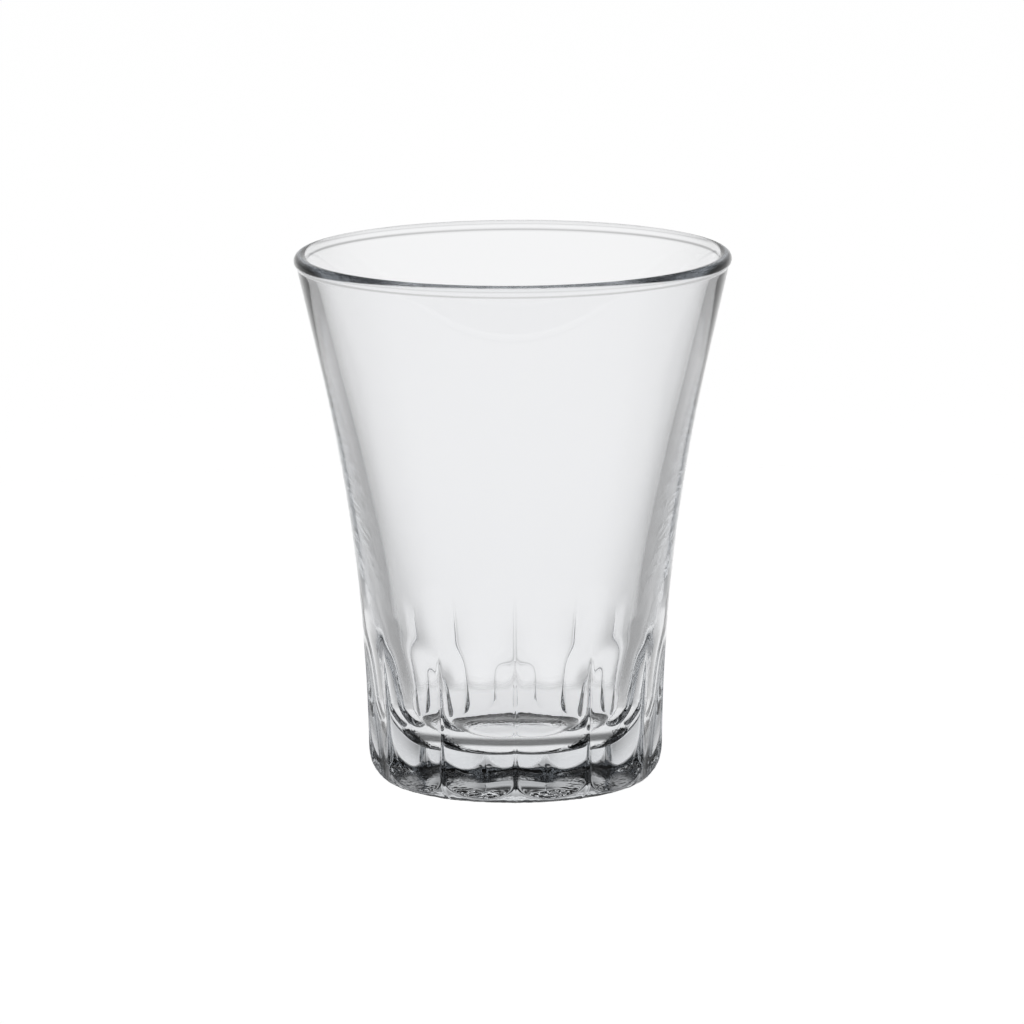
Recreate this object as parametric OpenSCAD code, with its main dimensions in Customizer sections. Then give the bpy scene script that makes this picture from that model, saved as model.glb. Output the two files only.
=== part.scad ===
// Cortado glass: one pressed tumbler with a flared wall, a rolled lip, a heavy base
// and a ring of flat panels standing on the heel. Lengths in millimetres, angles in degrees.
// The origin is the middle of the foot, on the table. The axis is +Z.
// A ridge between two panels faces the front, which is -Y.

/* [Lip] */
// Outer width across the lip
lip_d = 69; // [66:0.5:72]
// Height from the table to the top of the lip
glass_h = 84.5; // [80:0.5:90]
// Thickness of the rolled lip
lip_t = 2.1; // [1.8:0.1:2.4]
// How far the lip stands out from the line of the wall
lip_proud = 0.25; // [0.15:0.05:0.4]
// Radius of the neck where the lip runs into the wall
neck_r = 1; // [0.6:0.1:1.6]

/* [Outer wall] */
// Width across the ridges where the wall meets the heel
foot_d = 46.5; // [45:0.5:48]
// Lean of the wall from upright where it meets the heel
foot_lean = 0.9; // [0.5:0.1:2]
// Lean of the wall under the lip as a share of its average lean
flare_share = 1.71; // [1.5:0.01:1.8]
// Height of the waist above the panels, where the wall's two arcs meet
waist_h = 28; // [27:0.5:34]
// Step between the two arcs, which makes them meet in a clean crossing
waist_step = 2; // [1:0.1:4]

/* [Heel and underside] */
// Radius of the corner between the underside and the side of the heel
corner_r = 4; // [3.4:0.1:4.4]
// Radius of the gently rounded side of the heel
side_r = 15.8; // [13:0.2:18]
// Lean of the heel's side, inward from upright, where it meets the corner
side_lean = 13.2; // [11:0.2:15]
// Width of the shallow hollow under the base
hollow_d = 32.4; // [24:0.2:34]
// Height of the hollow at its middle
hollow_h = 1; // [0.5:0.1:1.6]

/* [Cavity] */
// Thickness of the base, from the table to the cavity's floor
base_t = 6.9; // [6:0.1:8.5]
// Radius of the bowl between the floor and the inner wall
bowl_r = 8.1; // [6:0.1:9]
// Width of the cavity at the top of the bowl
cavity_d = 34.7; // [33:0.1:36]
// Turn of the inner wall between the bowl and the lip
cavity_turn = 8; // [5:0.5:11]

/* [Panels] */
// Number of flat panels round the foot
panel_count = 12; // [10:1:16]
// Height at which the sharp ridges end
ridge_h = 19.3; // [16:0.1:22]
// Height of the panels' rounded tops
panel_h = 25.2; // [24:0.1:29]
// How deep the panels take the ridges below the round wall
ridge_bite = 0.04; // [0.02:0.01:0.1]

/* [Hidden] */
lip_r = lip_t / 2;
foot_r = foot_d / 2;
cavity_r = cavity_d / 2;
hollow_r = hollow_d / 2;
// One overrun for every cut.
overrun = 1;
// How far neighbouring arcs run into each other, so that each join is a clean crossing.
join = 0.01;
// A full turn and a right angle.
turn = 360;
right_angle = 90;
// Facets of the turned body, of the long arcs and of the small ones.
body_facets = 120;
long_facets = 360;
bowl_facets = 56;
lip_facets = 28;

// A unit step pointing out of the wall and down, for a wall that leans out by the given angle.
function out_of(lean) = [cos(lean), -sin(lean)];
// A unit step up along the same wall.
function along(lean) = [sin(lean), cos(lean)];
// Where the line square to the wall through a point meets the axis.
function on_axis(p, lean) = [0, p.y + p.x * tan(lean)];

// Lip: a round roll about this middle.
lip_mid = [lip_d / 2 - lip_r, glass_h - lip_r];

// Heel: a corner of small radius that runs into a side of larger radius.
corner_h = corner_r - join;
side_reach = side_r - corner_r + join;
side_mid = [foot_r - side_r * cos(foot_lean), corner_h + side_reach * sin(side_lean)];
corner_mid = side_mid + side_reach * out_of(side_lean);
heel_top = side_mid + side_r * out_of(foot_lean);

// Outer wall: an arc from the heel to the waist, another of the same radius above it
// and a straight flare under the lip.
mean_lean = atan((lip_mid.x - foot_r) / (lip_mid.y - heel_top.y));
flare_lean = mean_lean * flare_share;
lip_sink = lip_r - lip_proud;
flare_top = lip_mid + lip_sink * out_of(flare_lean);
function bend_r(rise) = (rise.x - tan(flare_lean) * rise.y)
    / (cos(foot_lean) - cos(flare_lean) - tan(flare_lean) * (sin(flare_lean) - sin(foot_lean)));
wall_rise = flare_top - heel_top;
waist_lean = asin(sin(foot_lean) + (waist_h - heel_top.y) / bend_r(wall_rise));
wall_r = bend_r(wall_rise - waist_step * along(waist_lean));
wall_mid = heel_top + (wall_r - join) * out_of(foot_lean);
waist_foot = wall_mid - (wall_r - join) * out_of(waist_lean);
waist_top = waist_foot + waist_step * along(waist_lean);
upper_mid = waist_top + (wall_r - join) * out_of(waist_lean);
flare_foot = upper_mid - (wall_r - join) * out_of(flare_lean);

// Neck: a small hollow arc between the flare and the lip.
neck_drop = sqrt(pow(lip_r + neck_r, 2) - pow(lip_sink + neck_r, 2));
neck_foot = flare_top - neck_drop * along(flare_lean);
neck_mid = neck_foot + (neck_r - join) * out_of(flare_lean);

// Inner wall: one arc that leaves the lip and passes the cavity's width at the top of the bowl.
bowl_h = base_t + bowl_r;
inner_lean = atan((lip_mid.x - lip_r - cavity_r) / (lip_mid.y - bowl_h)) + cavity_turn / 2;
inner_top = lip_mid - (lip_r - join) * out_of(inner_lean);
inner_span = [cavity_r, bowl_h] - inner_top;
inner_r = (inner_span * inner_span) / (2 * inner_span * out_of(inner_lean));
inner_mid = inner_top + inner_r * out_of(inner_lean);
bowl_reach = inner_r + bowl_r - join;
bowl_mid = [inner_mid.x - sqrt(pow(bowl_reach, 2) - pow(inner_mid.y - bowl_h, 2)), bowl_h];
bowl_out = (inner_mid - bowl_mid) / bowl_reach;
bowl_top = bowl_mid + bowl_r * bowl_out;

// Hollow under the base: a cap of a large ball.
hollow_ball_r = (hollow_r * hollow_r + hollow_h * hollow_h) / (2 * hollow_h);

// Panels: each one follows the wall up to the end of the ridges, then turns out through it.
function wall_at(h) = wall_mid.x - sqrt(wall_r * wall_r - pow(h - wall_mid.y, 2));
panel_step = turn / panel_count;
panel_depth = wall_at(ridge_h) * (1 - cos(panel_step / 2)) + ridge_bite;
panel_mid = wall_mid - [panel_depth, 0];
panel_turn = [wall_at(ridge_h) - panel_depth, ridge_h];
panel_out = (panel_mid - panel_turn) / norm(panel_mid - panel_turn);
panel_up = [-panel_out.y, panel_out.x];
exit_foot = panel_turn - join * panel_out;
exit_span = [wall_at(panel_h), panel_h] - exit_foot;
exit_r = (exit_span * exit_span) / (2 * exit_span * panel_out);
exit_mid = exit_foot + exit_r * panel_out;
panel_reach = panel_depth + 2 * overrun;
panel_side = foot_r * tan(panel_step / 2) + overrun;

// The gently rounded side of the heel, between the corner and the wall.
module heel_side() {
    reach = side_r + overrun;
    intersection() {
        translate(side_mid) circle(r = side_r, $fn = body_facets);
        polygon([side_mid, side_mid + reach * out_of(side_lean), side_mid + reach * out_of(0)]);
    }
}

// Everything inside the outer wall, up to the middle of the lip.
module wall_outline() {
    difference() {
        union() {
            polygon([
                [0, 0], [corner_mid.x, 0], heel_top - (foot_r - corner_mid.x) * out_of(foot_lean),
                heel_top + overrun * out_of(foot_lean), waist_foot, waist_top,
                flare_foot, flare_top, lip_mid, on_axis(inner_top, inner_lean)
            ]);
            translate(corner_mid) circle(r = corner_r, $fn = bowl_facets);
            heel_side();
        }
        translate(wall_mid) circle(r = wall_r, $fn = long_facets);
        translate(upper_mid) circle(r = wall_r, $fn = long_facets);
        translate([0, -2 * overrun]) square([lip_d, 2 * overrun]);
    }
}

// The cavity's side of the inner wall, with the bowl and the floor.
module cavity_outline() {
    open_h = on_axis(inner_top, inner_lean).y + overrun;
    difference() {
        polygon([
            [0, bowl_h], bowl_mid, bowl_top + overrun * bowl_out,
            [lip_mid.x, lip_mid.y], [lip_mid.x, open_h], [0, open_h]
        ]);
        translate(inner_mid) circle(r = inner_r, $fn = long_facets);
    }
    translate(bowl_mid) circle(r = bowl_r, $fn = bowl_facets);
    translate([0, base_t + join]) square([bowl_mid.x, bowl_r]);
}

module hollow_outline() {
    intersection() {
        translate([0, hollow_h - hollow_ball_r]) circle(r = hollow_ball_r, $fn = long_facets);
        translate([0, -overrun]) square([hollow_r + overrun, hollow_h + 2 * overrun]);
    }
}

// The rolled lip, and what fills the neck under it.
module lip_outline() {
    translate(lip_mid) circle(r = lip_r, $fn = lip_facets);
    polygon([lip_mid, neck_foot - neck_r * out_of(flare_lean) / 2, neck_mid]);
}

// Half section of the glass before the panels are cut.
module half_section() {
    difference() {
        union() {
            difference() {
                wall_outline();
                cavity_outline();
                hollow_outline();
            }
            lip_outline();
        }
        translate(neck_mid) circle(r = neck_r, $fn = lip_facets);
    }
}

// Side view of what one panel takes away.
module panel_outline() {
    inside = panel_turn - overrun * panel_out;
    outside = panel_turn + panel_reach * panel_out;
    lead = overrun * panel_up;
    intersection() {
        translate(panel_mid) circle(r = wall_r, $fn = long_facets);
        polygon([inside, outside, [outside.x, -overrun], [inside.x - overrun, -overrun]]);
    }
    intersection() {
        translate(exit_mid) circle(r = exit_r, $fn = long_facets);
        polygon([
            inside - lead, outside - lead,
            [outside.x, panel_h + overrun], [inside.x - overrun, panel_h + overrun]
        ]);
    }
}

module panel_cut() {
    rotate([right_angle, 0, 0])
        linear_extrude(height = 2 * panel_side, center = true)
            panel_outline();
}

module tumbler() {
    color([0.86, 0.92, 0.91, 0.55])
    difference() {
        rotate_extrude($fn = body_facets) half_section();
        for (i = [0 : panel_count - 1])
            rotate([0, 0, (i + 1 / 2) * panel_step - right_angle]) panel_cut();
    }
}

tumbler();
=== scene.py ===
"""Looks of a pressed cortado glass: clear glass on a white board, with the room bright behind it.
Metres, +Z up, front at -Y."""

import math

import bpy
import numpy as np
from mathutils import Matrix, Vector, noise


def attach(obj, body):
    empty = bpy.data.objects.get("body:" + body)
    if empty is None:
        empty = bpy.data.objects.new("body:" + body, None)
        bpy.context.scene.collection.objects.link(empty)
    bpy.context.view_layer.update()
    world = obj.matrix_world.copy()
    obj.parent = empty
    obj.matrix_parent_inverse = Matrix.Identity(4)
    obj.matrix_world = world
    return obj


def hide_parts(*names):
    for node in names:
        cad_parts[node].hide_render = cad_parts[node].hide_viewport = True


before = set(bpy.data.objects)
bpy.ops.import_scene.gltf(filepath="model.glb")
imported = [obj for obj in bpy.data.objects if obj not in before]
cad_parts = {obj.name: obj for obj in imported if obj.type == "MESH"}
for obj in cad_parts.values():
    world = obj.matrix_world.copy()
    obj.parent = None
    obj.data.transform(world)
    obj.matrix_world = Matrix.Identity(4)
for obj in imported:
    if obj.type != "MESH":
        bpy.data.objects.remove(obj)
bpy.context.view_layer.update()  # frame["bodies"], ["nodes"], ["joints"], ["record"]

MM = 0.001

# The glass, with the sizes of its solid apart from the hollow under the base, which is narrower.
LIP_D = 69 * MM
GLASS_H = 84.5 * MM
LIP_R = 1.05 * MM
LIP_PROUD = 0.25 * MM
NECK_R = 1 * MM
FOOT_R = 23.25 * MM
FOOT_LEAN = math.radians(0.9)
FLARE_LEAN = math.radians(12.9)
CORNER_R = 4 * MM
SIDE_R = 15.8 * MM
SIDE_LEAN = math.radians(13.2)
HOLLOW_R = 12 * MM
HOLLOW_H = 1 * MM
BASE_T = 6.9 * MM
BOWL_R = 8.1 * MM
CAVITY_R = 17.35 * MM
CAVITY_TURN = math.radians(8)
PANELS = 12
RIDGE_H = 19.3 * MM
PANEL_H = 25.2 * MM
RIDGE_BITE = 0.04 * MM

# Softness that fire polishing leaves on the creases, as the width over which two faces melt together.
RIDGE_MELT = 0.12 * MM
HEEL_MELT = 0.12 * MM
TOP_MELT = 0.8 * MM
# Above this height the wall is round.
ROUND_FROM = PANEL_H + 2 * TOP_MELT
# Heights over which a panel's turn towards the wall is eased.
TURN_EASE = 3.5 * MM
EASE_STEPS = 31

# How far the middle of a panel is hollowed below the straight line between its ridges, at the table.
SCOOP = 1.05 * MM
SCOOP_TOP = 23 * MM
SCOOP_FADE = 1.6

# A fine bead along every ridge, where the mould's panels meet.
BEAD_H = 0.12 * MM
BEAD_W = 0.28 * MM
BEAD_TOP = 23.5 * MM
BEAD_FADE = 4 * MM
BEAD_FADE_POWER = 0.5

# Unevenness of pressed glass: how far a face strays, and over what distance.
WALL_WAVE = 0.005 * MM
WALL_WAVE_SPAN = 14 * MM
BASE_WAVE = 0.03 * MM
BASE_WAVE_SPAN = 5 * MM
STIPPLE = 0.16 * MM
STIPPLE_SPAN = 0.9 * MM
# The stipple starts at this radius, grows to its full height within a third of it
# and ends at this height on the corner.
STIPPLE_FROM = 6 * MM
STIPPLE_RISE = 3
STIPPLE_UP_TO = 1.6 * MM
# Heights between which the wall is wavy, and what sets one face's noise apart from another's.
WAVE_FROM = LIP_R
WAVE_UP_TO = GLASS_H - 3 * LIP_R
UNDER_SEED = 3
FLOOR_SEED = 5
WALL_SEED = 7
STIPPLE_SEED = 9

# Fineness of the mesh: rows along the section and columns round the axis.
FINE_STEP = 0.3 * MM
WIDE_STEP = 1.1 * MM
LIP_STEPS = 22
NECK_STEPS = 8
COLUMNS_PER_PANEL = 40
RIDGE_CROWDING = 2

# Camera: a long lens a little above the glass, and the pixel where the middle of the glass falls.
CAMERA_FAR = 1.38
CAMERA_DOWN = math.radians(10.656)
CAMERA_ROLL = math.radians(0.328)
LENS = 306.6
SENSOR = 36
FRAME_PIXELS = 1024
AIM_X = 514.2
AIM_Y = 515.98

# Finish of the glass.
GLASS_IOR = 1.52
GLASS_COLOUR = (0.982, 0.984, 0.99, 1)
BODY_TINT = (0.798, 0.812, 0.827, 1)
BODY_DENSITY = 32
LIGHT_BOUNCES = 32

# Scuffs on the ring that the glass stands on: the roughness of the roughest patch, the size of the
# patches, the noise between which a patch runs from least to full, the radii between which the
# scuffs come and go, and the height at which they end.
SCUFF = 0.22
SCUFF_SPAN = 1.1 * MM
SCUFF_DETAIL = 4
SCUFF_LEAST = 0.2
SCUFF_NOISE = (0.35, 0.65)
SCUFF_RING = (13 * MM, 16 * MM, 19 * MM, 20 * MM)
SCUFF_TOP = 0.8 * MM

# Floor: a disc that fades out, between the two smaller radii where the glass shows it
# and between the two larger ones where it is seen directly.
FLOOR_R = 400 * MM
FLOOR_IN_GLASS_R = 60 * MM
FLOOR_SOLID_R = 22 * MM
FLOOR_SIDES = 96
FLOOR_DROP = 0.05 * MM
FLOOR_COLOUR = (0.8, 0.8, 0.8, 1)
# Its glow where it is seen directly, and the shares of that seen through the glass and mirrored.
FLOOR_GLOW = 0.97
FLOOR_IN_GLASS = 0.92
FLOOR_MIRRORED = 0.1
# Painted shade under the foot, a dark ring set into the floor's glow in place of the glass's contact
# shadow: the radii between which it comes and goes, and its level.
PAINTED_SHADE_RING = (11 * MM, 13.5 * MM, 16 * MM, 19.5 * MM)
PAINTED_SHADE_GLOW = 0.17

# Room: its level by the angle in degrees from straight behind the glass, the same as reflections
# see it, and a factor on both by the angle above the horizon. Each stop is (angle, level).
ROOM = ((8, 1.0), (20, 1.0), (28, 0.71), (42, 0.45), (62, 0.37), (80, 0.5), (96, 0.82), (179, 0.86))
MIRRORED = ((8, 1.0), (20, 1.0), (28, 0.66), (42, 0.4), (62, 0.3), (90, 0.1), (179, 0.05))
HEIGHTS = ((-10, 1.0), (-2, 1.0), (6, 0.54), (13, 0.64), (20, 0.75), (25, 0.0), (36, 0.0), (89, 0.0))
# Going down, it turns as pale as a white table all round between these angles, not in reflections.
TABLE_STARTS = -24
TABLE_FULL = -30
TABLE_LEVEL = 0.92
HALF_TURN = 180
RIGHT_ANGLE = 90


def out_of(lean):
    """Unit step pointing out of a wall and down, for a wall leaning out by that angle."""
    return np.array([math.cos(lean), -math.sin(lean)])


def along(lean):
    """Unit step up along the same wall."""
    return np.array([math.sin(lean), math.cos(lean)])


def angle_of(step):
    """Angle of a step from the outward direction, counted up."""
    return math.atan2(step[1], step[0])


def arc(middle, radius, start, end, steps):
    """Points on an arc from one angle to another, both ends included."""
    turn = np.linspace(start, end, steps + 1)
    return np.stack([middle[0] + radius * np.cos(turn), middle[1] + radius * np.sin(turn)], 1)


def steps_for(length, step):
    """How many steps no longer than the given one cover a length."""
    return max(2, int(math.ceil(length / step)))


def lip_middle():
    """Middle of the round lip in the section."""
    return np.array([LIP_D / 2 - LIP_R, GLASS_H - LIP_R])


def heel_points():
    """Corner and rounded side of the heel up to where the wall starts, and the corner's middle."""
    side_middle_x = FOOT_R - SIDE_R * math.cos(FOOT_LEAN)
    corner_x = side_middle_x + (SIDE_R - CORNER_R) * math.cos(SIDE_LEAN)
    corner = arc((corner_x, CORNER_R), CORNER_R, -math.pi / 2, -SIDE_LEAN,
                 steps_for(CORNER_R * (math.pi / 2 - SIDE_LEAN), FINE_STEP))
    side_middle_z = CORNER_R + (SIDE_R - CORNER_R) * math.sin(SIDE_LEAN)
    side = arc((side_middle_x, side_middle_z), SIDE_R, -SIDE_LEAN, -FOOT_LEAN,
               steps_for(SIDE_R * (SIDE_LEAN - FOOT_LEAN), FINE_STEP))
    return np.concatenate([corner, side[1:]]), corner_x


def wall_arc(start, end):
    """Middle and radius of the wall's arc, which leaves the heel and meets the flare under the lip."""
    rise = end - start
    bend = math.cos(FOOT_LEAN) - math.cos(FLARE_LEAN)
    bend -= math.tan(FLARE_LEAN) * (math.sin(FLARE_LEAN) - math.sin(FOOT_LEAN))
    radius = (rise[0] - math.tan(FLARE_LEAN) * rise[1]) / bend
    return start + radius * out_of(FOOT_LEAN), radius


def outer_points():
    """Outer side of the section from the table to the top of the lip, and what its arcs turn on."""
    heel, corner_x = heel_points()
    lip = lip_middle()
    sink = LIP_R - LIP_PROUD
    flare_top = lip + sink * out_of(FLARE_LEAN)
    middle, radius = wall_arc(heel[-1], flare_top)
    panel_lean = math.asin((ROUND_FROM - middle[1]) / radius)
    lower = arc(middle, radius, math.pi - FOOT_LEAN, math.pi - panel_lean,
                steps_for(radius * (panel_lean - FOOT_LEAN), FINE_STEP))
    upper = arc(middle, radius, math.pi - panel_lean, math.pi - FLARE_LEAN,
                steps_for(radius * (FLARE_LEAN - panel_lean), WIDE_STEP))
    drop = math.sqrt((LIP_R + NECK_R) ** 2 - (sink + NECK_R) ** 2)
    neck_foot = flare_top - drop * along(FLARE_LEAN)
    flare_length = np.linalg.norm(neck_foot - upper[-1])
    flare = np.linspace(upper[-1], neck_foot, steps_for(flare_length, WIDE_STEP) + 1)
    neck = neck_foot + NECK_R * out_of(FLARE_LEAN)
    to_lip = angle_of(lip - neck) % (2 * math.pi)
    hollow = arc(neck, NECK_R, math.pi - FLARE_LEAN, to_lip, NECK_STEPS)
    roll = arc(lip, LIP_R, to_lip - math.pi, math.pi / 2, LIP_STEPS)
    points = np.concatenate([heel, lower[1:], upper[1:], flare[1:], hollow[1:], roll[1:]])
    return points, corner_x, middle, radius


def inner_points():
    """Inner side of the section, from the top of the lip down to the middle of the floor."""
    lip = lip_middle()
    bowl_z = BASE_T + BOWL_R
    rise = np.array([lip[0] - LIP_R - CAVITY_R, lip[1] - bowl_z])
    lean = math.atan2(rise[0], rise[1]) + CAVITY_TURN / 2
    top = lip - LIP_R * out_of(lean)
    span = np.array([CAVITY_R, bowl_z]) - top
    radius = span @ span / (2 * span @ out_of(lean))
    middle = top + radius * out_of(lean)
    reach = radius + BOWL_R
    bowl = np.array([middle[0] - math.sqrt(reach ** 2 - (middle[1] - bowl_z) ** 2), bowl_z])
    to_wall = angle_of(middle - bowl)
    roll = arc(lip, LIP_R, math.pi / 2, math.pi - lean, LIP_STEPS)
    wall = arc(middle, radius, math.pi - lean, to_wall + math.pi,
               steps_for(radius * (to_wall + lean), WIDE_STEP))
    curve = arc(bowl, BOWL_R, to_wall, -math.pi / 2,
                steps_for(BOWL_R * (to_wall + math.pi / 2), FINE_STEP))
    floor_x = np.linspace(bowl[0], 0, steps_for(bowl[0], WIDE_STEP) + 1)
    floor = np.stack([floor_x, np.full(len(floor_x), BASE_T)], 1)
    return np.concatenate([roll[1:], wall[1:], curve[1:], floor[1:]])


def under_points(corner_x):
    """Underside from the middle of the hollow out to the ring that the glass stands on."""
    ball_r = (HOLLOW_R ** 2 + HOLLOW_H ** 2) / (2 * HOLLOW_H)
    x = np.linspace(0, HOLLOW_R, steps_for(HOLLOW_R, FINE_STEP) + 1)
    cap = np.stack([x, HOLLOW_H - ball_r + np.sqrt(ball_r ** 2 - x ** 2)], 1)
    ring_x = np.linspace(HOLLOW_R, corner_x, steps_for(corner_x - HOLLOW_R, FINE_STEP) + 1)[1:-1]
    return np.concatenate([cap, np.stack([ring_x, np.zeros(len(ring_x))], 1)])


def melt(first, second, width):
    """The smaller of two distances, with the crease between them rounded by a cubic over a width."""
    share = np.clip(1 - np.abs(first - second) / width, 0, 1)
    return np.minimum(first, second) - share ** 3 * width / 6


def panel_distance(height, middle, radius):
    """Distance of a panel's face from the axis at a height: along the wall, then out through it."""
    half = math.pi / PANELS

    def wall_at(z):
        return middle[0] - math.sqrt(radius ** 2 - (z - middle[1]) ** 2)

    depth = wall_at(RIDGE_H) * (1 - math.cos(half)) + RIDGE_BITE
    if height <= RIDGE_H:
        return wall_at(height) - depth
    turn_point = np.array([wall_at(RIDGE_H) - depth, RIDGE_H])
    outward = np.array([middle[0] - depth, middle[1]]) - turn_point
    outward = outward / np.linalg.norm(outward)
    span = np.array([wall_at(PANEL_H), PANEL_H]) - turn_point
    exit_r = span @ span / (2 * span @ outward)
    exit_middle = turn_point + exit_r * outward
    return exit_middle[0] - math.sqrt(max(exit_r ** 2 - (height - exit_middle[1]) ** 2, 0))


def column_turns():
    """Angle of each column, and its angle from the middle of its panel. Columns crowd at the ridges."""
    half = math.pi / PANELS
    across = np.arange(COLUMNS_PER_PANEL) * 2 / COLUMNS_PER_PANEL - 1
    off = half * np.sign(across) * (1 - (1 - np.abs(across)) ** RIDGE_CROWDING)
    middles = -math.pi / 2 + half * (2 * np.arange(PANELS) + 1)
    return (middles[:, None] + off[None, :]).ravel(), np.tile(off, PANELS)


def outer_radii(point, off, middle, radius):
    """Distance of every column from the axis on one row of the outer side."""
    wall, z = point
    if z > ROUND_FROM:
        return np.full(len(off), wall)
    half = math.pi / PANELS
    eased = np.linspace(z - TURN_EASE, z + TURN_EASE, EASE_STEPS)
    face = np.mean([panel_distance(height, middle, radius) for height in eased])
    scoop = SCOOP * max(1 - z / SCOOP_TOP, 0) ** SCOOP_FADE

    def panel(turn):
        hollowed = scoop * (1 - (np.tan(turn) / math.tan(half)) ** 2)
        return (face - hollowed) / np.cos(turn)

    panels = melt(panel(off), panel(2 * half - np.abs(off)), RIDGE_MELT)
    rise = min(max((z - RIDGE_H / 2) / (PANEL_H - RIDGE_H / 2), 0), 1)
    edge_melt = HEEL_MELT + (TOP_MELT - HEEL_MELT) * rise ** 2
    body = melt(np.full(len(off), wall), panels, edge_melt)
    bead = BEAD_H * min(max((BEAD_TOP - z) / BEAD_FADE, 0), 1) ** BEAD_FADE_POWER
    from_ridge = wall * (half - np.abs(off))
    return body + bead * np.exp(-(from_ridge / BEAD_W) ** 2)


def stray(place, span, seed):
    """Smooth noise between -1 and 1 at a place."""
    return noise.noise(Vector(place) / span + Vector((seed, 0, 0)))


def section_rows():
    """Every row of the mesh from the hollow round to the cavity's floor, as radii, height and kind."""
    turns, off = column_turns()
    outer, corner_x, middle, radius = outer_points()
    inner = inner_points()
    under = under_points(corner_x)
    rows = []
    for x, z in under[1:]:
        rows.append((np.full(len(off), x), z, "under"))
    for point in outer:
        rows.append((outer_radii(point, off, middle, radius), point[1], "outside"))
    for x, z in inner[:-1]:
        rows.append((np.full(len(off), x), z, "inside"))
    return rows, turns, under[0][1], inner[-1][1]


def unevenness(kind, place, radius):
    """How far the face strays at a place, as a lift upward and a push outward."""
    z = place[2]
    if kind == "under" or z < STIPPLE_UP_TO:
        wave = BASE_WAVE * max(stray(place, BASE_WAVE_SPAN, UNDER_SEED), 0)
        share = min(max(radius / STIPPLE_FROM - 1, 0) * STIPPLE_RISE, 1)
        return wave + share * STIPPLE * (stray(place, STIPPLE_SPAN, STIPPLE_SEED) + 1) / 2, 0
    if kind == "inside" and radius < CAVITY_R and z < BASE_T + BOWL_R:
        return BASE_WAVE * stray(place, BASE_WAVE_SPAN, FLOOR_SEED), 0
    if WAVE_FROM < z < WAVE_UP_TO:
        return 0, -WALL_WAVE * (1 + stray(place, WALL_WAVE_SPAN, WALL_SEED)) / 2
    return 0, 0


def row_places(radii, z, kind, turns):
    """The points of one row, with the glass's unevenness in them."""
    places = np.stack([radii * np.cos(turns), radii * np.sin(turns), np.full(len(turns), z)], 1)
    strays = [unevenness(kind, place, radius) for place, radius in zip(places, radii)]
    lift, push = np.array(strays, dtype=float).T
    places[:, 2] += lift
    places[:, :2] *= (1 + push / radii)[:, None]
    return places


def glass_mesh():
    """The whole skin: rows joined by a net of faces, and a fan at the middle of each end."""
    rows, turns, under_z, floor_z = section_rows()
    count = len(turns)
    places = np.array([row_places(radii, z, kind, turns) for radii, z, kind in rows])
    vertices = places.reshape(-1, 3).tolist()
    under_middle = len(vertices)
    floor_middle = under_middle + 1
    vertices += [[0, 0, under_z], [0, 0, floor_z]]
    last_row = (len(rows) - 1) * count
    columns = [(column, (column + 1) % count) for column in range(count)]
    faces = []
    for here, beside in columns:
        faces.append((under_middle, beside, here))
        faces.append((last_row + here, last_row + beside, floor_middle))
    for low in range(0, last_row, count):
        high = low + count
        for here, beside in columns:
            faces.append((low + here, low + beside, high + beside, high + here))
    mesh = bpy.data.meshes.new("cortado_glass")
    mesh.from_pydata(vertices, [], faces)
    mesh.shade_smooth()
    return mesh


def math_node(tree, operation, first, second=None, clamp=False):
    """A math node on two sockets or numbers, as its output."""
    node = tree.nodes.new("ShaderNodeMath")
    node.operation = operation
    node.use_clamp = clamp
    for slot, value in enumerate((first, second)):
        if value is None:
            continue
        if isinstance(value, (int, float)):
            node.inputs[slot].default_value = value
        else:
            tree.links.new(value, node.inputs[slot])
    return node.outputs[0]


def smooth_step(tree, value, start, end, low, high):
    """low before start, high after end and a smooth run between them."""
    node = tree.nodes.new("ShaderNodeMapRange")
    node.interpolation_type = "SMOOTHSTEP"
    tree.links.new(value, node.inputs["Value"])
    node.inputs["From Min"].default_value = start
    node.inputs["From Max"].default_value = end
    node.inputs["To Min"].default_value = low
    node.inputs["To Max"].default_value = high
    return node.outputs["Result"]


def length_of(tree, place):
    """Distance of a place from the origin."""
    node = tree.nodes.new("ShaderNodeVectorMath")
    node.operation = "LENGTH"
    tree.links.new(place, node.inputs[0])
    return node.outputs["Value"]


def choose(tree, factor, first, second):
    """The first value where the factor is 0 and the second where it is 1."""
    node = tree.nodes.new("ShaderNodeMix")
    tree.links.new(factor, node.inputs["Factor"])
    tree.links.new(first, node.inputs["A"])
    tree.links.new(second, node.inputs["B"])
    return node.outputs["Result"]


def ray_kind(tree, kind):
    """1 for rays of that kind and 0 for the rest."""
    return tree.nodes.new("ShaderNodeLightPath").outputs[kind]


def ramp(tree, value, stops):
    """Grey level that follows a value through smooth stops, as (value, level)."""
    node = tree.nodes.new("ShaderNodeValToRGB")
    node.color_ramp.interpolation = "B_SPLINE"
    tree.links.new(value, node.inputs["Fac"])
    places = node.color_ramp.elements
    for place, level in stops:
        places.new(place).color = (level, level, level, 1)
    places.remove(places[0])
    places.remove(places[len(places) - 1])
    return node.outputs["Color"]


def empty_material(name):
    """A new material with nothing in it but its output."""
    material = bpy.data.materials.new(name)
    material.use_nodes = True
    tree = material.node_tree
    tree.nodes.clear()
    return material, tree, tree.nodes.new("ShaderNodeOutputMaterial")


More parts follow.
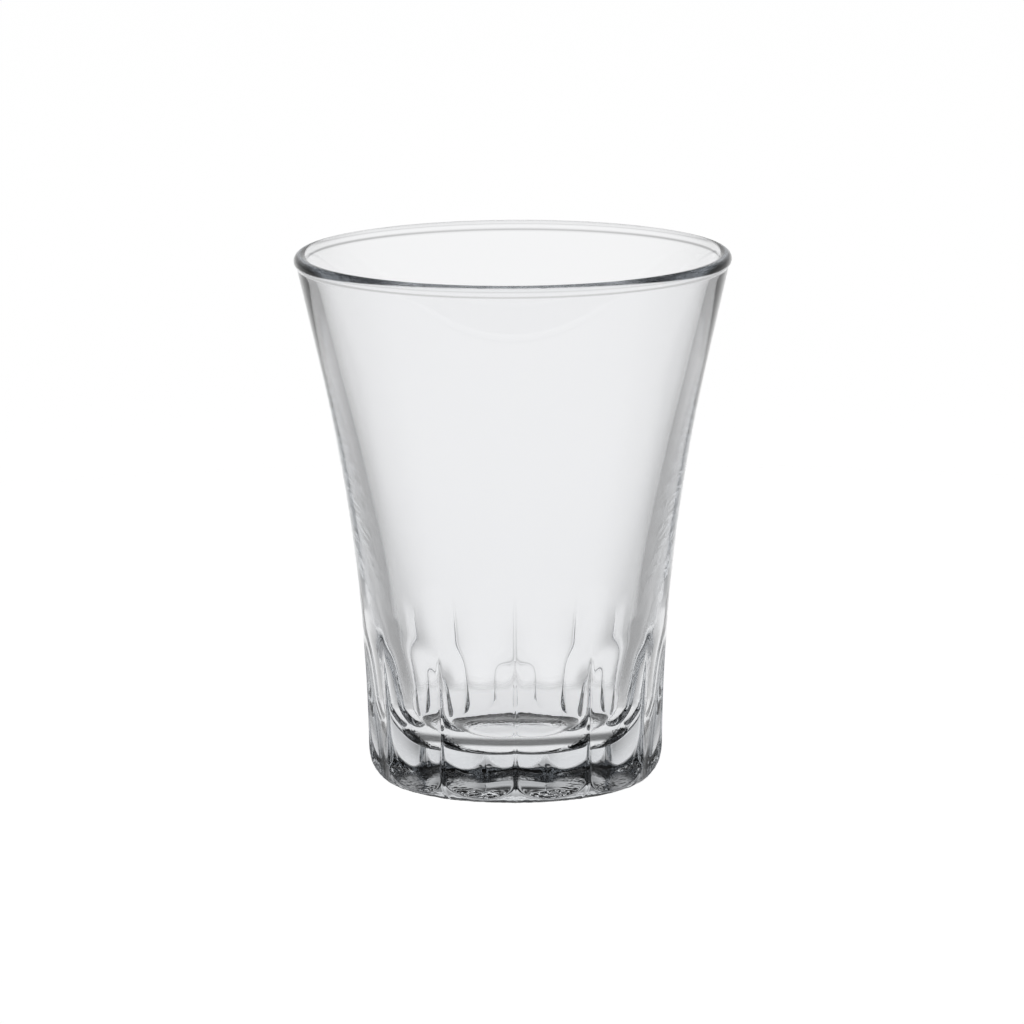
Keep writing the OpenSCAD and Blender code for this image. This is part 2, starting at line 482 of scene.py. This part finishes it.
def scuffs(tree):
    """Roughness: none on the clear faces, patchy where the foot's ring rubs on the table."""
    place = tree.nodes.new("ShaderNodeTexCoord").outputs["Object"]
    split = tree.nodes.new("ShaderNodeSeparateXYZ")
    tree.links.new(place, split.inputs[0])
    flat = tree.nodes.new("ShaderNodeVectorMath")
    flat.operation = "MULTIPLY"
    tree.links.new(place, flat.inputs[0])
    flat.inputs[1].default_value = (1, 1, 0)
    away = length_of(tree, flat.outputs[0])
    inside = smooth_step(tree, away, SCUFF_RING[0], SCUFF_RING[1], 0, 1)
    outside = smooth_step(tree, away, SCUFF_RING[2], SCUFF_RING[3], 1, 0)
    low = smooth_step(tree, split.outputs["Z"], 0, SCUFF_TOP, 1, 0)
    ring = math_node(tree, "MULTIPLY", math_node(tree, "MULTIPLY", inside, outside), low)
    patches = tree.nodes.new("ShaderNodeTexNoise")
    tree.links.new(place, patches.inputs["Vector"])
    patches.inputs["Scale"].default_value = 1 / SCUFF_SPAN
    patches.inputs["Detail"].default_value = SCUFF_DETAIL
    rubbed = smooth_step(tree, patches.outputs["Fac"], SCUFF_NOISE[0], SCUFF_NOISE[1], SCUFF_LEAST, 1)
    return math_node(tree, "MULTIPLY", math_node(tree, "MULTIPLY", ring, rubbed), SCUFF)


def glass_material():
    """Clear pressed glass: a faint cool body colour and a softer, rubbed ring where it stands."""
    material, tree, output = empty_material("clear_glass")
    glass = tree.nodes.new("ShaderNodeBsdfPrincipled")
    glass.inputs["Base Color"].default_value = GLASS_COLOUR
    glass.inputs["IOR"].default_value = GLASS_IOR
    tree.links.new(scuffs(tree), glass.inputs["Roughness"])
    glass.inputs["Transmission Weight"].default_value = 1
    tree.links.new(glass.outputs["BSDF"], output.inputs["Surface"])
    body = tree.nodes.new("ShaderNodeVolumeAbsorption")
    body.inputs["Color"].default_value = BODY_TINT
    body.inputs["Density"].default_value = BODY_DENSITY
    tree.links.new(body.outputs["Volume"], output.inputs["Volume"])
    return material


def floor_share(tree):
    """Share of the floor's glow by kind of ray: 1 seen directly, less through the glass or mirrored."""
    glossy = ray_kind(tree, "Is Glossy Ray")
    through = math_node(tree, "ADD", glossy, ray_kind(tree, "Is Transmission Ray"), clamp=True)
    dimmed = math_node(tree, "MULTIPLY", through, FLOOR_IN_GLASS)
    lost = math_node(tree, "MULTIPLY", ray_kind(tree, "Is Reflection Ray"), 1 - FLOOR_MIRRORED)
    kept = math_node(tree, "MULTIPLY", dimmed, math_node(tree, "SUBTRACT", 1, lost))
    return math_node(tree, "ADD", kept, ray_kind(tree, "Is Camera Ray"), clamp=True)


def floor_material():
    """White board that glows, with a painted shade ring under the foot, and fades out towards its edge.
    """
    material, tree, output = empty_material("white_board")
    matte = tree.nodes.new("ShaderNodeBsdfDiffuse")
    matte.inputs["Color"].default_value = FLOOR_COLOUR
    place = tree.nodes.new("ShaderNodeNewGeometry")
    away = length_of(tree, place.outputs["Position"])
    # Painted shade: the glow drops to a dark ring under the foot, standing in for the glass's shadow.
    inner = smooth_step(tree, away, PAINTED_SHADE_RING[0], PAINTED_SHADE_RING[1], FLOOR_GLOW, PAINTED_SHADE_GLOW)
    outer = smooth_step(tree, away, PAINTED_SHADE_RING[2], PAINTED_SHADE_RING[3], PAINTED_SHADE_GLOW, FLOOR_GLOW)
    level = math_node(tree, "MAXIMUM", inner, outer)
    glow = tree.nodes.new("ShaderNodeEmission")
    strength = math_node(tree, "MULTIPLY", floor_share(tree), level)
    tree.links.new(strength, glow.inputs["Strength"])
    board = tree.nodes.new("ShaderNodeAddShader")
    tree.links.new(matte.outputs[0], board.inputs[0])
    tree.links.new(glow.outputs[0], board.inputs[1])
    near = smooth_step(tree, away, FLOOR_SOLID_R, FLOOR_IN_GLASS_R, 0, 1)
    wide = smooth_step(tree, away, FLOOR_IN_GLASS_R, FLOOR_R, 0, 1)
    clear = tree.nodes.new("ShaderNodeBsdfTransparent")
    edge = tree.nodes.new("ShaderNodeMixShader")
    tree.links.new(choose(tree, ray_kind(tree, "Is Camera Ray"), near, wide), edge.inputs["Fac"])
    tree.links.new(board.outputs[0], edge.inputs[1])
    tree.links.new(clear.outputs[0], edge.inputs[2])
    tree.links.new(edge.outputs[0], output.inputs["Surface"])
    return material


def make_floor():
    """A disc just under the glass, which only stages the picture."""
    turns = [2 * math.pi * side / FLOOR_SIDES for side in range(FLOOR_SIDES)]
    ring = [(FLOOR_R * math.cos(turn), FLOOR_R * math.sin(turn), -FLOOR_DROP) for turn in turns]
    mesh = bpy.data.meshes.new("floor")
    mesh.from_pydata(ring, [], [tuple(range(FLOOR_SIDES))])
    floor = bpy.data.objects.new("floor", mesh)
    bpy.context.scene.collection.objects.link(floor)
    mesh.materials.append(floor_material())


def make_world():
    """White straight behind the glass, grey at the sides, pale behind the camera and steeply down,
    and dark overhead. Reflections see it dimmer from the sides round to the camera."""
    world = bpy.data.worlds.new("studio")
    bpy.context.scene.world = world
    world.use_nodes = True
    tree = world.node_tree
    tree.nodes.clear()
    output = tree.nodes.new("ShaderNodeOutputWorld")
    background = tree.nodes.new("ShaderNodeBackground")
    background.inputs["Color"].default_value = (1, 1, 1, 1)
    coordinates = tree.nodes.new("ShaderNodeTexCoord")
    split = tree.nodes.new("ShaderNodeSeparateXYZ")
    tree.links.new(coordinates.outputs["Generated"], split.inputs[0])
    from_behind = math_node(tree, "DIVIDE", math_node(tree, "ARCCOSINE", split.outputs["Y"]), math.pi)
    from_below = math_node(tree, "ADD", math_node(tree, "ARCSINE", split.outputs["Z"]), math.pi / 2)
    table_full = math.radians(TABLE_FULL + RIGHT_ANGLE)
    table_starts = math.radians(TABLE_STARTS + RIGHT_ANGLE)
    table = smooth_step(tree, from_below, table_full, table_starts, TABLE_LEVEL, 0)
    room = ramp(tree, from_behind, [(angle / HALF_TURN, level) for angle, level in ROOM])
    room = math_node(tree, "MAXIMUM", room, table)
    mirrored = ramp(tree, from_behind, [(angle / HALF_TURN, level) for angle, level in MIRRORED])
    around = choose(tree, ray_kind(tree, "Is Reflection Ray"), room, mirrored)
    upward = math_node(tree, "DIVIDE", from_below, math.pi)
    heights = [((angle + RIGHT_ANGLE) / HALF_TURN, level) for angle, level in HEIGHTS]
    strength = math_node(tree, "MULTIPLY", around, ramp(tree, upward, heights))
    tree.links.new(strength, background.inputs["Strength"])
    tree.links.new(background.outputs[0], output.inputs["Surface"])


def make_camera():
    """The photograph's camera, aimed at the middle of the glass."""
    data = bpy.data.cameras.new("camera")
    camera = bpy.data.objects.new("camera", data)
    bpy.context.scene.collection.objects.link(camera)
    look = Vector((0, math.cos(CAMERA_DOWN), -math.sin(CAMERA_DOWN)))
    target = Vector((0, 0, GLASS_H / 2))
    turn = Matrix.Rotation(CAMERA_ROLL, 4, look) @ look.to_track_quat("-Z", "Y").to_matrix().to_4x4()
    camera.matrix_world = Matrix.Translation(target - CAMERA_FAR * look) @ turn
    data.sensor_width = SENSOR
    data.lens = LENS
    data.shift_x = (FRAME_PIXELS / 2 - AIM_X) / FRAME_PIXELS
    data.shift_y = (AIM_Y - FRAME_PIXELS / 2) / FRAME_PIXELS
    bpy.context.scene.camera = camera


def make_glass():
    """The one visible piece, which stands in for the solid."""
    mesh = glass_mesh()
    mesh.materials.append(glass_material())
    glass = bpy.data.objects.new("cortado_glass", mesh)
    bpy.context.scene.collection.objects.link(glass)
    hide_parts("tumbler")
    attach(glass, "root")


make_camera()
make_glass()
make_floor()
make_world()
bpy.context.scene.view_settings.view_transform = "Standard"
bpy.context.scene.cycles.max_bounces = LIGHT_BOUNCES
bpy.context.scene.cycles.transmission_bounces = LIGHT_BOUNCES
bpy.context.scene.cycles.glossy_bounces = LIGHT_BOUNCES
